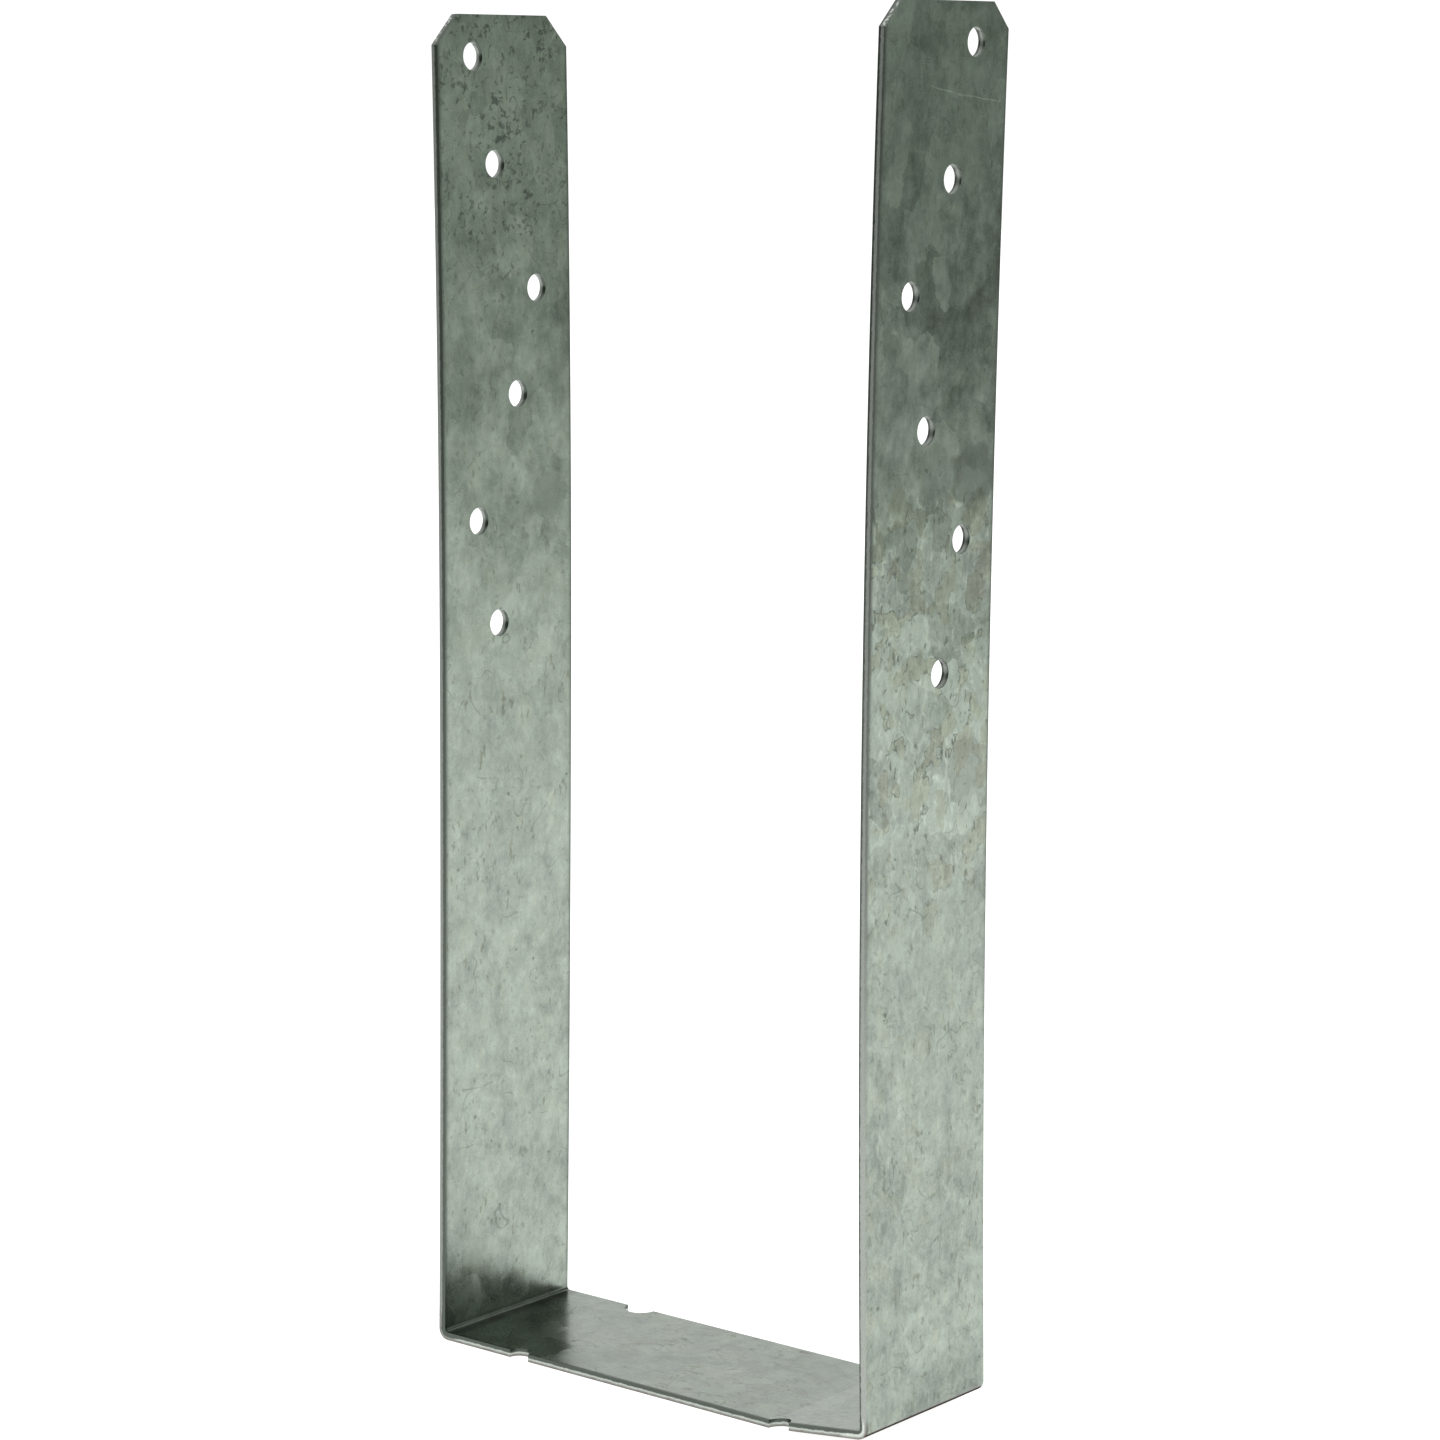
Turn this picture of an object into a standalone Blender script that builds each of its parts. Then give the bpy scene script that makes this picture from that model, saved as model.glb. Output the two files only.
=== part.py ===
"""Stud plate tie: one strip of galvanised sheet steel folded into a tall U.

The base lies against a wall's timber plate, and the two legs run along the plate and the stud,
where nails go through their staggered holes. The strap is drawn as the line of its middle
surface, swept across its width, thickened to the sheet's gauge, then punched and clipped.

Lengths are in metres. X runs from the left leg to the right one, Y across the strap and Z up.
The origin is the middle of the base, on its underside.
"""

import math
from typing import NamedTuple

import bmesh
import bpy

OBJECT_NAME = "stud_plate_tie"

# The folded strap
INNER_WIDTH = 0.0889
LEG_HEIGHT = 0.2221
STRAP_WIDTH = 0.03175
THICKNESS = 0.00131
BEND_RADIUS = 0.0006
LEG_BOW = 0.0015
LEFT_FOOT_INSET = 0.0009
END_SLOPE = math.radians(6.9)
SLOPE_START = 0.027

# The nail holes
HOLES_PER_LEG = 6
HOLE_DIAMETER = 0.0046
OUTER_ROW_FROM_EDGE = 0.00845
INNER_ROW_FROM_MIDDLE = 0.0025
SHORT_PITCH = 0.01746
LONG_PITCH = 0.02064

# The half-round notches in both edges of the base
FRONT_NOTCH_RADIUS = 0.0020
BACK_NOTCH_RADIUS = 0.00285

# How finely the round stretches are divided, and how far a cutter runs past what it cuts
BEND_STEPS = 8
LEG_STEPS = 11
HOLE_SIDES = 32
NOTCH_SIDES = 48
OVERSHOOT = 0.002


class Leg(NamedTuple):
    """What differs between the two legs, with side as the sign of X and of the first hole's Y."""

    side: int
    foot_inset: float
    notch_from_middle: float
    tip_clip: float
    first_hole_from_tip: float
    first_pitch: float
    second_pitch: float


LEFT = Leg(
    side=-1,
    foot_inset=LEFT_FOOT_INSET,
    notch_from_middle=0.02675,
    tip_clip=0.0050,
    first_hole_from_tip=0.00677,
    first_pitch=SHORT_PITCH,
    second_pitch=LONG_PITCH,
)
RIGHT = Leg(
    side=1,
    foot_inset=0.0,
    notch_from_middle=0.0284,
    tip_clip=0.0041,
    first_hole_from_tip=0.00613,
    first_pitch=LONG_PITCH,
    second_pitch=SHORT_PITCH,
)

MIDDLE_RADIUS = BEND_RADIUS + THICKNESS / 2
MIDDLE_WIDTH = INNER_WIDTH + THICKNESS


def bend_centre(leg):
    """Centre (X, Z) of a leg's bend.

    The base is flat up to the start of its slope, by the right notches, and rises from there, so
    the right bend sits higher than the left one. Its arc is tangent to the slope below and
    upright above.
    """
    x = leg.side * (INNER_WIDTH / 2 - leg.foot_inset - BEND_RADIUS)
    if leg.side < 0:
        return x, THICKNESS / 2 + MIDDLE_RADIUS
    slope_end_x = x + MIDDLE_RADIUS * math.sin(END_SLOPE)
    slope_rise = (slope_end_x - SLOPE_START) * math.tan(END_SLOPE)
    return x, THICKNESS / 2 + slope_rise + MIDDLE_RADIUS * math.cos(END_SLOPE)


def tip_height(leg):
    """Z of a leg's tip: the leg height above the underside of its own bend."""
    underside = bend_centre(leg)[1] - MIDDLE_RADIUS - THICKNESS / 2
    return underside + LEG_HEIGHT


def bend_line(leg, start, end):
    """Points (X, Z) along a bend, from one angle to the other, both ends included."""
    x, z = bend_centre(leg)
    angles = [start + (end - start) * step / BEND_STEPS for step in range(BEND_STEPS + 1)]
    return [(x + MIDDLE_RADIUS * math.cos(a), z + MIDDLE_RADIUS * math.sin(a)) for a in angles]


def leg_line(leg):
    """Points (X, Z) up a leg from just above its bend to its tip, bowed in along the way.

    A foot that stands in towards the middle comes out to the bowed line by half height.
    """
    foot = bend_centre(leg)[1]
    points = []
    for step in range(1, LEG_STEPS + 1):
        share = step / LEG_STEPS
        bow = LEG_BOW * 4 * share * (1 - share)
        inset = leg.foot_inset * max(0, 1 - 2 * share) ** 2
        x = leg.side * (MIDDLE_WIDTH / 2 - bow - inset)
        points.append((x, foot + (tip_height(leg) - foot) * share))
    return points


def strap_line():
    """The strap's middle line, from the left tip round the base to the right tip."""
    left_leg = list(reversed(leg_line(LEFT)))
    left_bend = bend_line(LEFT, math.pi, 1.5 * math.pi)
    slope_start = [(SLOPE_START, THICKNESS / 2)]
    right_bend = bend_line(RIGHT, 1.5 * math.pi + END_SLOPE, 2 * math.pi)
    return left_leg + left_bend + slope_start + right_bend + leg_line(RIGHT)


def new_collection(name):
    """A collection linked to the scene."""
    collection = bpy.data.collections.new(name)
    bpy.context.scene.collection.children.link(collection)
    return collection


def sweep_strap(collection):
    """The middle surface as an open mesh: the strap's line swept across its width."""
    points = strap_line()
    curve = bpy.data.curves.new("strap_line", "CURVE")
    curve.dimensions = "3D"
    curve.extrude = STRAP_WIDTH / 2
    spline = curve.splines.new("POLY")
    spline.points.add(len(points) - 1)
    for point, (x, z) in zip(spline.points, points):
        point.co = (x, z, 0, 1)
    guide = bpy.data.objects.new("strap_line", curve)
    guide.rotation_euler.x = math.pi / 2
    collection.objects.link(guide)
    bpy.context.view_layer.update()

    evaluated = guide.evaluated_get(bpy.context.evaluated_depsgraph_get())
    mesh = bpy.data.meshes.new_from_object(evaluated)
    mesh.name = OBJECT_NAME
    shape = bmesh.new()
    shape.from_mesh(mesh)
    bmesh.ops.remove_doubles(shape, verts=shape.verts, dist=THICKNESS / 100)
    shape.to_mesh(mesh)
    shape.free()

    strap = bpy.data.objects.new(OBJECT_NAME, mesh)
    strap.matrix_world = guide.matrix_world
    collection.objects.link(strap)
    bpy.data.objects.remove(guide)
    return strap


def add_cutter(cutters, name):
    """Turns the primitive that was just added into a cutter."""
    cutter = bpy.context.object
    cutter.name = name
    cutter.display_type = "WIRE"
    cutter.hide_render = True
    for owner in cutter.users_collection:
        owner.objects.unlink(cutter)
    cutters.objects.link(cutter)


def hole_places(leg):
    """Y and Z of a leg's nail holes, from the tip down.

    The holes come in pairs, an outer one and an inner one, and each pair is on the other side of
    the middle from the pair before. Two pitches take turns.
    """
    outer = STRAP_WIDTH / 2 - OUTER_ROW_FROM_EDGE
    places = []
    z = tip_height(leg) - leg.first_hole_from_tip
    for index in range(HOLES_PER_LEG):
        pair, second_of_pair = divmod(index, 2)
        side = leg.side if pair % 2 == 0 else -leg.side
        offset = INNER_ROW_FROM_MIDDLE if second_of_pair else outer
        places.append((side * offset, z))
        z -= leg.second_pitch if second_of_pair else leg.first_pitch
    return places


def punch_holes(leg, cutters):
    """A round cutter through the leg for each nail hole."""
    for number, (y, z) in enumerate(hole_places(leg), start=1):
        bpy.ops.mesh.primitive_cylinder_add(
            vertices=HOLE_SIDES,
            radius=HOLE_DIAMETER / 2,
            depth=THICKNESS + 2 * (LEG_BOW + OVERSHOOT),
            location=(leg.side * MIDDLE_WIDTH / 2, y, z),
            rotation=(0, math.pi / 2, 0),
        )
        add_cutter(cutters, f"hole_cutter_{leg.side}_{number}")


def clip_tip(leg, cutters):
    """A turned block at each corner of the leg's tip, which cuts it off at 45 degrees."""
    block = 2 * leg.tip_clip
    # The cut crosses the strap's edge and its tip at one clip's length from the corner, so its
    # middle is half a clip in from the corner both ways. The block's centre is half the block's
    # side further out, square to the cut.
    from_corner = (block / 2) * math.cos(math.pi / 4) - leg.tip_clip / 2
    for edge in (-1, 1):
        bpy.ops.mesh.primitive_cube_add(
            size=block,
            location=(
                leg.side * MIDDLE_WIDTH / 2,
                edge * (STRAP_WIDTH / 2 + from_corner),
                tip_height(leg) + from_corner,
            ),
            rotation=(math.pi / 4, 0, 0),
        )
        add_cutter(cutters, f"clip_cutter_{leg.side}_{edge}")


def notch_base(leg, cutters):
    """An upright round cutter centred on each edge of the base, the front one smaller."""
    for edge, radius in ((-1, FRONT_NOTCH_RADIUS), (1, BACK_NOTCH_RADIUS)):
        bpy.ops.mesh.primitive_cylinder_add(
            vertices=NOTCH_SIDES,
            radius=radius,
            depth=2 * (THICKNESS + OVERSHOOT),
            location=(leg.side * leg.notch_from_middle, edge * STRAP_WIDTH / 2, 0),
        )
        add_cutter(cutters, f"notch_cutter_{leg.side}_{edge}")


def galvanised_steel():
    """Zinc-coated sheet, greenish grey and half bright."""
    material = bpy.data.materials.new("galvanised_steel")
    material.use_nodes = True
    shader = material.node_tree.nodes["Principled BSDF"]
    shader.inputs["Base Color"].default_value = (0.52, 0.55, 0.53, 1.0)
    shader.inputs["Metallic"].default_value = 1.0
    shader.inputs["Roughness"].default_value = 0.42
    return material


def build_tie():
    """The whole tie: swept, thickened, then cut by everything in the cutters' collection."""
    parts = new_collection(OBJECT_NAME)
    cutters = new_collection("cutters")
    strap = sweep_strap(parts)
    strap.data.materials.append(galvanised_steel())

    sheet = strap.modifiers.new("sheet", "SOLIDIFY")
    sheet.thickness = THICKNESS
    sheet.offset = 0
    sheet.use_even_offset = True

    for leg in (LEFT, RIGHT):
        punch_holes(leg, cutters)
        clip_tip(leg, cutters)
        notch_base(leg, cutters)
    cuts = strap.modifiers.new("cuts", "BOOLEAN")
    cuts.operation = "DIFFERENCE"
    cuts.solver = "EXACT"
    cuts.operand_type = "COLLECTION"
    cuts.collection = cutters

    strap.data.shade_smooth()
    strap.data.set_sharp_from_angle(angle=math.radians(30))


for leftover in list(bpy.data.objects):
    bpy.data.objects.remove(leftover)
build_tie()
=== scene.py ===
"""Looks for a stud plate tie: the folded strap with rounded sheared edges, in galvanised steel.

Lengths are in metres, in the part's own frame: X from the left leg to the right one, Z up.
"""

import math
from typing import NamedTuple

import bpy
from bpy.props import FloatProperty, FloatVectorProperty, IntProperty, PointerProperty
from mathutils import Matrix, Vector
from mathutils.bvhtree import BVHTree


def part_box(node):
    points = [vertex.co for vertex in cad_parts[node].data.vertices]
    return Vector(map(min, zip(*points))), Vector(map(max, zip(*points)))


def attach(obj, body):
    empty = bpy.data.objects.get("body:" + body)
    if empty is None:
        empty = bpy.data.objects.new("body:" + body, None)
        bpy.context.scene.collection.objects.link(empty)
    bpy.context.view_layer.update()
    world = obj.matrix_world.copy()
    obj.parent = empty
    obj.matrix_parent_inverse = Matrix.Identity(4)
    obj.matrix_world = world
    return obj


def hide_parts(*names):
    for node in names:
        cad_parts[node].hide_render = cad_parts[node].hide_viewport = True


bl_info = {
    "name": "Stud Plate Tie",
    "version": (1, 0, 0),
    "blender": (4, 5, 0),
    "location": "View3D > Sidebar > Stud Tie",
    "description": "Models a galvanised stud plate tie and the studio it is shown in",
    "category": "Add Mesh",
}

NODE = "stud_plate_tie"
BODY = "root"
IMAGE_SIDE = 1440
SENSOR_WIDTH = 36.0

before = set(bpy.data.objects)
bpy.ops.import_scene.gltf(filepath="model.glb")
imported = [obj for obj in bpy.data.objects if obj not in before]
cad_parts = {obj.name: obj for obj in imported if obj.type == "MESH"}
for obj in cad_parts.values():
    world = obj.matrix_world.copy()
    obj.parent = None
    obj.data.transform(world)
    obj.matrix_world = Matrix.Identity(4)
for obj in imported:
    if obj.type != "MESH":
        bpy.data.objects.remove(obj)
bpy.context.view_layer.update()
LOW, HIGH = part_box(NODE)


# Properties


class StrapSize(bpy.types.PropertyGroup):
    """Sizes of the folded strap and of what is punched in it"""

    thickness: FloatProperty(
        name="Sheet thickness", description="Gauge of the zinc-coated sheet",
        default=0.00131, unit="LENGTH", precision=5,
    )
    width: FloatProperty(
        name="Strap width", description="Width of the strip, taken from the solid",
        default=HIGH.y - LOW.y, unit="LENGTH", precision=5,
    )
    outer_width: FloatProperty(
        name="Width over the legs", description="From one tip's outer face to the other's",
        default=HIGH.x - LOW.x, unit="LENGTH", precision=5,
    )
    leg_height: FloatProperty(
        name="Leg height", description="From the underside of a leg's bend to its tip",
        default=0.2221, unit="LENGTH", precision=5,
    )
    bend_radius: FloatProperty(
        name="Inside bend radius", description="Radius of both folds on their inside",
        default=0.0006, unit="LENGTH", precision=5,
    )
    leg_bow: FloatProperty(
        name="Inward bow", description="How far a leg's middle stands in from its ends",
        default=0.0015, unit="LENGTH", precision=5,
    )
    left_foot_inset: FloatProperty(
        name="Left foot inset", description="How far the left leg's foot stands in from its tip",
        default=0.0009, unit="LENGTH", precision=5,
    )
    end_slope: FloatProperty(
        name="End slope", description="Rise of the base's right end from level",
        default=math.radians(6.9), subtype="ANGLE",
    )
    slope_start: FloatProperty(
        name="Start of the slope", description="Where the base starts to rise, from its middle",
        default=0.027, unit="LENGTH", precision=5,
    )
    front_notch: FloatProperty(
        name="Front notch", description="Radius of the notches in the front edge",
        default=0.0020, unit="LENGTH", precision=5,
    )
    back_notch: FloatProperty(
        name="Back notch", description="Radius of the notches in the back edge",
        default=0.00285, unit="LENGTH", precision=5,
    )
    hole_diameter: FloatProperty(
        name="Nail hole", description="Diameter of the nail holes",
        default=0.0046, unit="LENGTH", precision=5,
    )
    outer_row_from_edge: FloatProperty(
        name="Outer row to edge", description="From the strap's edge to the outer holes' centres",
        default=0.00845, unit="LENGTH", precision=5,
    )
    inner_row_from_middle: FloatProperty(
        name="Inner row offset", description="From the strap's middle to the inner holes' centres",
        default=0.0025, unit="LENGTH", precision=5,
    )
    short_pitch: FloatProperty(
        name="Short pitch", description="The shorter step from one hole to the next",
        default=0.01746, unit="LENGTH", precision=5,
    )
    long_pitch: FloatProperty(
        name="Long pitch", description="The longer step from one hole to the next",
        default=0.02064, unit="LENGTH", precision=5,
    )
    holes_per_leg: IntProperty(
        name="Holes in a leg", description="How many nail holes each leg has", default=6, min=0
    )
    bend_steps: IntProperty(
        name="Faces round a bend", description="How finely each fold is divided", default=10, min=2
    )
    leg_steps: IntProperty(
        name="Faces up a leg", description="How finely each bowed leg is divided",
        default=44, min=2,
    )
    hole_sides: IntProperty(
        name="Faces round a hole", description="How finely holes and notches are divided",
        default=48, min=12,
    )
    edge_round: FloatProperty(
        name="Edge rounding", description="Rounding of the inner, drawn-in edges",
        default=0.00032, unit="LENGTH", precision=5,
    )
    burr_share: FloatProperty(
        name="Outer edge rounding", description="Share of that rounding on the outer edges",
        default=1.0, min=0, max=1, subtype="FACTOR",
    )


class SteelLook(bpy.types.PropertyGroup):
    """Colours and texture sizes of the galvanised sheet"""

    zinc: FloatVectorProperty(
        name="Zinc", description="The zinc's own tint",
        default=(0.294, 0.337, 0.294), subtype="COLOR", size=3, min=0, max=1,
    )
    tarnish: FloatVectorProperty(
        name="Warm tarnish", description="Tint of the stained patches",
        default=(0.262, 0.287, 0.231), subtype="COLOR", size=3, min=0, max=1,
    )
    # Its colour also paints the shade in the left bend, along the edges and in the dark band on the
    # cut edges.
    speck_and_shade: FloatVectorProperty(
        name="Dark specks", description="Tint of pits, blots and dark corners",
        default=(0.085, 0.10, 0.085), subtype="COLOR", size=3, min=0, max=1,
    )
    bare_steel: FloatVectorProperty(
        name="Sheared steel", description="Tint of the torn cut edges",
        default=(0.285, 0.305, 0.28), subtype="COLOR", size=3, min=0, max=1,
    )
    rust: FloatVectorProperty(
        name="Brown burr", description="Tint of the burr along the base's edges",
        default=(0.20, 0.145, 0.13), subtype="COLOR", size=3, min=0, max=1,
    )
    # Painted shade: the dark line under the right leg's fold, a matt coat that mirrors nothing.
    foot_shade: FloatVectorProperty(
        name="Dirt under the fold", description="Colour of the line under the right leg",
        default=(0.035, 0.020, 0.017), subtype="COLOR", size=3, min=0, max=1,
    )
    roughness: FloatProperty(
        name="Roughness", description="How softly the zinc mirrors the room",
        default=0.27, min=0, max=1, subtype="FACTOR",
    )
    flake: FloatProperty(
        name="Spangle flake", description="Size of one flake of the zinc",
        default=0.0065, unit="LENGTH", precision=5,
    )
    cloud: FloatProperty(
        name="Cloudy patches", description="Size of the broad light and dark clouds",
        default=0.018, unit="LENGTH", precision=5,
    )
    grain: FloatProperty(
        name="Fine grain", description="Size of the finest grain",
        default=0.0004, unit="LENGTH", precision=5,
    )


class StudioSetup(bpy.types.PropertyGroup):
    """The floor, the light and the camera"""

    floor_size: FloatProperty(
        name="Floor", description="Side of the square floor",
        default=8.0, unit="LENGTH", precision=5,
    )
    floor_colour: FloatVectorProperty(
        name="Floor colour", description="Tint of the floor paper",
        default=(0.30, 0.30, 0.30), subtype="COLOR", size=3, min=0, max=1,
    )
    floor_glow: FloatProperty(
        name="Floor glow", description="Light from under the floor paper", default=0.90, min=0
    )
    tent_strength: FloatProperty(
        name="Light from all round", description="Strength of the white tent", default=1.09, min=0
    )
    overhead_power: FloatProperty(
        name="Overhead light", description="Power of the light overhead",
        default=20.0, min=0, unit="POWER",
    )
    overhead_size: FloatProperty(
        name="Overhead light size", description="Diameter of the light overhead",
        default=1.4, unit="LENGTH", precision=5,
    )
    overhead_height: FloatProperty(
        name="Overhead light height", description="From the floor to the light",
        default=1.6, unit="LENGTH", precision=5,
    )
    screen_radius: FloatProperty(
        name="Screen radius", description="Radius of the screen round the tie",
        default=1.0, unit="LENGTH", precision=5,
    )
    screen_height: FloatProperty(
        name="Screen height", description="Height of the screen round the tie",
        default=1.0, unit="LENGTH", precision=5,
    )
    camera_place: FloatVectorProperty(
        name="Camera place", description="Where the camera stands",
        subtype="TRANSLATION", size=3, default=(0.40354, -0.50000, 0.21399),
    )
    camera_heading: FloatProperty(
        name="Camera heading", description="Turn of the camera about Z from facing +Y",
        default=math.radians(38.727), subtype="ANGLE",
    )
    camera_tilt: FloatProperty(
        name="Camera tilt", description="How far below level the camera looks",
        default=math.radians(9.238), subtype="ANGLE",
    )
    camera_roll: FloatProperty(
        name="Camera roll", description="Turn of the camera about its own line of sight",
        default=math.radians(0.452), subtype="ANGLE",
    )
    camera_focus: FloatProperty(
        name="Focal length", description="Focal length in pixels of the square image",
        default=4017.7, min=1, subtype="PIXEL",
    )


# The strap


class Leg(NamedTuple):
    """What differs between the two legs, with side as the sign of X and of the first hole's Y."""

    side: int
    notch_from_middle: float
    tip_clip: float
    first_hole_from_tip: float
    starts_short: bool


LEFT = Leg(
    side=-1,
    notch_from_middle=0.02675,
    tip_clip=0.0050,
    first_hole_from_tip=0.00677,
    starts_short=True,
)
RIGHT = Leg(
    side=1,
    notch_from_middle=0.0284,
    tip_clip=0.0041,
    first_hole_from_tip=0.00613,
    starts_short=False,
)


class StrapPlan:
    """Places on the strap that follow from its sizes."""

    def __init__(self, size):
        self.size = size
        self.middle_x = (size.outer_width - size.thickness) / 2
        self.middle_z = size.thickness / 2
        self.middle_radius = size.bend_radius + size.thickness / 2
        self.slope_end_x = self.bend_x(RIGHT) + self.middle_radius * math.sin(size.end_slope)
        self.slope_rise = (self.slope_end_x - size.slope_start) * math.tan(size.end_slope)

    def foot_inset(self, leg):
        """How far a leg's foot stands in from its tip."""
        return self.size.left_foot_inset if leg.side < 0 else 0.0

    def bend_x(self, leg):
        """How far a bend's centre is from the middle of the base."""
        return self.middle_x - self.middle_radius - self.foot_inset(leg)

    def bend_centre_z(self, leg):
        """Height of a bend's centre, raised on the right by the sloping end of the base."""
        if leg.side < 0:
            return self.middle_z + self.middle_radius
        drop = self.middle_radius * math.cos(self.size.end_slope)
        return self.middle_z + self.slope_rise + drop

    def tip_z(self, leg):
        """Height of a leg's tip above the floor."""
        return self.bend_centre_z(leg) - self.middle_radius - self.middle_z + self.size.leg_height

    def leg_place(self, leg, share):
        """Middle of the sheet at a share of the way from a leg's foot to its tip."""
        foot = self.bend_centre_z(leg)
        bow = self.size.leg_bow * 4 * share * (1 - share)
        inset = self.foot_inset(leg) * max(0, 1 - 2 * share) ** 2
        x = leg.side * (self.middle_x - bow - inset)
        return Vector((x, 0, foot + (self.tip_z(leg) - foot) * share))

    def hole_places(self, leg):
        """Y and Z of a leg's nail holes, in pairs that change sides, from the tip down."""
        outer = self.size.width / 2 - self.size.outer_row_from_edge
        pitches = [self.size.short_pitch, self.size.long_pitch]
        if not leg.starts_short:
            pitches.reverse()
        places = []
        z = self.tip_z(leg) - leg.first_hole_from_tip
        for index in range(self.size.holes_per_leg):
            pair, second = divmod(index, 2)
            side = leg.side if pair % 2 == 0 else -leg.side
            places.append((side * (self.size.inner_row_from_middle if second else outer), z))
            z -= pitches[second]
        return places


def deselect_all():
    """Leaves nothing selected, so that an operator acts only on what comes next."""
    bpy.ops.object.select_all(action="DESELECT")


def make_active(obj):
    """Selects one object and makes it the active one."""
    deselect_all()
    obj.select_set(True)
    bpy.context.view_layer.objects.active = obj


def apply_modifier(obj, name):
    """Applies one modifier of the object."""
    make_active(obj)
    bpy.ops.object.modifier_apply(modifier=name)


def select_end(obj, side):
    """Selects the edge at the flat base's end on one side, and opens the mesh for editing."""
    bpy.ops.object.mode_set(mode="OBJECT")
    end = max(side * vertex.co.x for vertex in obj.data.vertices)
    close = 1e-6
    for face in obj.data.polygons:
        face.select = False
    for vertex in obj.data.vertices:
        vertex.select = side * vertex.co.x > end - close
    for edge in obj.data.edges:
        edge.select = all(obj.data.vertices[index].select for index in edge.vertices)
    bpy.ops.object.mode_set(mode="EDIT")


def extrude_by(offset):
    """Draws the selected edge out by an offset."""
    bpy.ops.mesh.extrude_region_move(TRANSFORM_OT_translate={"value": offset})


def fold_leg(plan, leg):
    """Turns the selected end of the base up through its bend and draws the bowed leg from it."""
    slope = plan.size.end_slope if leg.side > 0 else 0.0
    bpy.ops.mesh.spin(
        steps=plan.size.bend_steps,
        angle=leg.side * (math.pi / 2 - slope),
        center=(leg.side * plan.bend_x(leg), 0, plan.bend_centre_z(leg)),
        axis=(0, 1, 0),
    )
    steps = plan.size.leg_steps
    places = [plan.leg_place(leg, step / steps) for step in range(steps + 1)]
    for below, above in zip(places, places[1:]):
        extrude_by(above - below)


def fold_strap(plan):
    """The middle surface of the strap: its flat base, its sloping right end, its bends and legs."""
    left_end, slope_start = -plan.bend_x(LEFT), plan.size.slope_start
    bpy.ops.mesh.primitive_plane_add(
        size=1, location=((left_end + slope_start) / 2, 0, plan.middle_z)
    )
    strap = bpy.context.object
    strap.name = "folded_strap"
    strap.scale = (slope_start - left_end, plan.size.width, 1)
    bpy.ops.object.transform_apply(location=True, rotation=True, scale=True)
    bpy.ops.object.mode_set(mode="EDIT")
    bpy.ops.mesh.select_mode(type="EDGE")
    select_end(strap, LEFT.side)
    fold_leg(plan, LEFT)
    select_end(strap, RIGHT.side)
    extrude_by((plan.slope_end_x - slope_start, 0, plan.slope_rise))
    fold_leg(plan, RIGHT)
    bpy.ops.mesh.select_all(action="SELECT")
    bpy.ops.mesh.remove_doubles(threshold=plan.size.thickness / 100)
    bpy.ops.mesh.normals_make_consistent(inside=False)
    bpy.ops.object.mode_set(mode="OBJECT")
    return strap


def thicken(strap, thickness):
    """Gives the middle surface the sheet's thickness, half to each side."""
    wall = strap.modifiers.new("sheet", "SOLIDIFY")
    wall.thickness = thickness
    wall.offset = 0
    wall.use_even_offset = True
    apply_modifier(strap, wall.name)


def punch_tools(plan):
    """The punches and the corner shears, joined into one cutting object."""
    size = plan.size
    tools = []
    reach = 4 * size.thickness
    for leg in (LEFT, RIGHT):
        for y, z in plan.hole_places(leg):
            bpy.ops.mesh.primitive_cylinder_add(
                vertices=size.hole_sides,
                radius=size.hole_diameter / 2,
                depth=2 * reach,
                location=(leg.side * plan.middle_x, y, z),
                rotation=(0, math.pi / 2, 0),
            )
            tools.append(bpy.context.object)
        # A turned block, whose side cuts the corner off at 45 degrees
        block = 2 * leg.tip_clip
        out = (block / 2) * math.cos(math.pi / 4) - leg.tip_clip / 2
        for edge, notch_radius in ((-1, size.front_notch), (1, size.back_notch)):
            bpy.ops.mesh.primitive_cube_add(
                size=block,
                location=(
                    leg.side * plan.middle_x,
                    edge * (size.width / 2 + out),
                    plan.tip_z(leg) + out,
                ),
                rotation=(math.pi / 4, 0, 0),
            )
            tools.append(bpy.context.object)
            bpy.ops.mesh.primitive_cylinder_add(
                vertices=size.hole_sides,
                radius=notch_radius,
                depth=2 * reach,
                location=(leg.side * leg.notch_from_middle, edge * size.width / 2, 0),
            )
            tools.append(bpy.context.object)
    deselect_all()
    for tool in tools:
        tool.select_set(True)
    bpy.context.view_layer.objects.active = tools[0]
    bpy.ops.object.join()
    return bpy.context.object


def punch(strap, tools):
    """Cuts the strap with the tools, and puts the tools away."""
    cut = strap.modifiers.new("punch", "BOOLEAN")
    cut.operation = "DIFFERENCE"
    cut.solver = "EXACT"
    cut.object = tools
    apply_modifier(strap, cut.name)
    bpy.data.objects.remove(tools)


class MiddleSurface:
    """Where the middle of the sheet is, to tell its inner side from its outer one."""

    def __init__(self, strap, centre_height):
        mesh = strap.data
        corners = [vertex.co.copy() for vertex in mesh.vertices]
        self.tree = BVHTree.FromPolygons(corners, [list(face.vertices) for face in mesh.polygons])
        self.centre_height = centre_height

    def depth(self, place):
        """How far a place lies from the middle of the sheet, towards the outside of the U."""
        nearest = self.tree.find_nearest(place)[0]
        inward = Vector((0, nearest.y, self.centre_height)) - nearest
        offset = place - nearest
        return -math.copysign(offset.length, offset.dot(inward))

    def normal(self, place):
        """The sheet's own normal nearest a place."""
        return self.tree.find_nearest(place)[1]


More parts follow.
